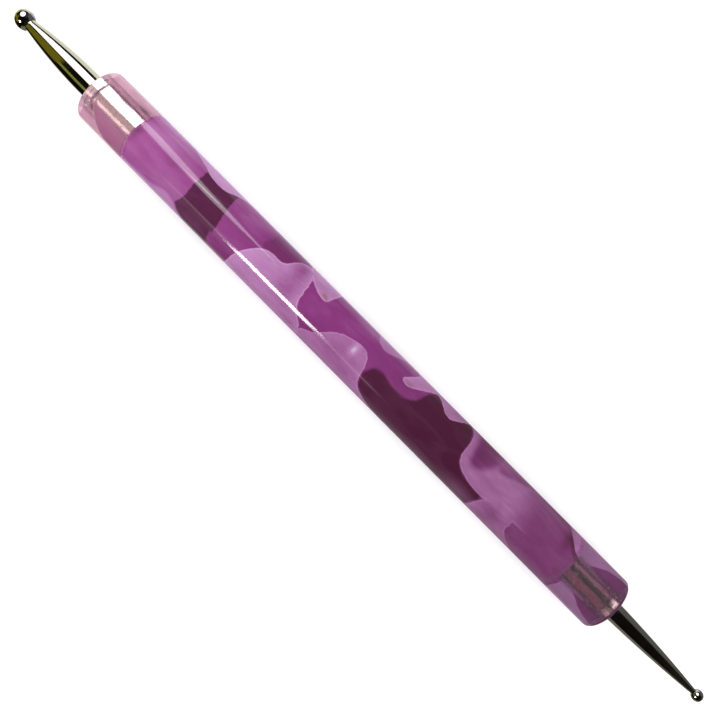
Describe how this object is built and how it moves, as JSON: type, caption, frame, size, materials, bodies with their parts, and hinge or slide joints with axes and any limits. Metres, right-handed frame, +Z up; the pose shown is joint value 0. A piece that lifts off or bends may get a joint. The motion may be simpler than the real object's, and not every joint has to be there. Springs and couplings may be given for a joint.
{
  "type": "embossing stylus",
  "caption": "Two-way embossing stylus: marbled acrylic rod handle with a large and a small ball tip on tapered steel shanks glued into its ends.",
  "frame": {"origin": "under the middle of the tool's whole length, on the surface that the handle lies on", "axes": "+X along the tool, from the large ball towards the small ball; +Z up, square to the surface that the handle lies on"},
  "size_m": [0.1284, 0.008, 0.008],
  "materials": {
    "marbled_acrylic": "polished cast acrylic, purple with lilac pearl veils",
    "plated_shank": "bright nickel plating on turned steel",
    "polished_ball": "bright nickel plating on a steel ball",
    "clear_glue": "clear glue with small bubbles"
  },
  "bodies": {
    "root": {"handle": "marbled_acrylic", "large_tip_shank": "plated_shank", "large_tip_ball": "polished_ball", "large_tip_glue": "clear_glue", "small_tip_shank": "plated_shank", "small_tip_ball": "polished_ball", "small_tip_glue": "clear_glue"}
  },
  "joints": []
}
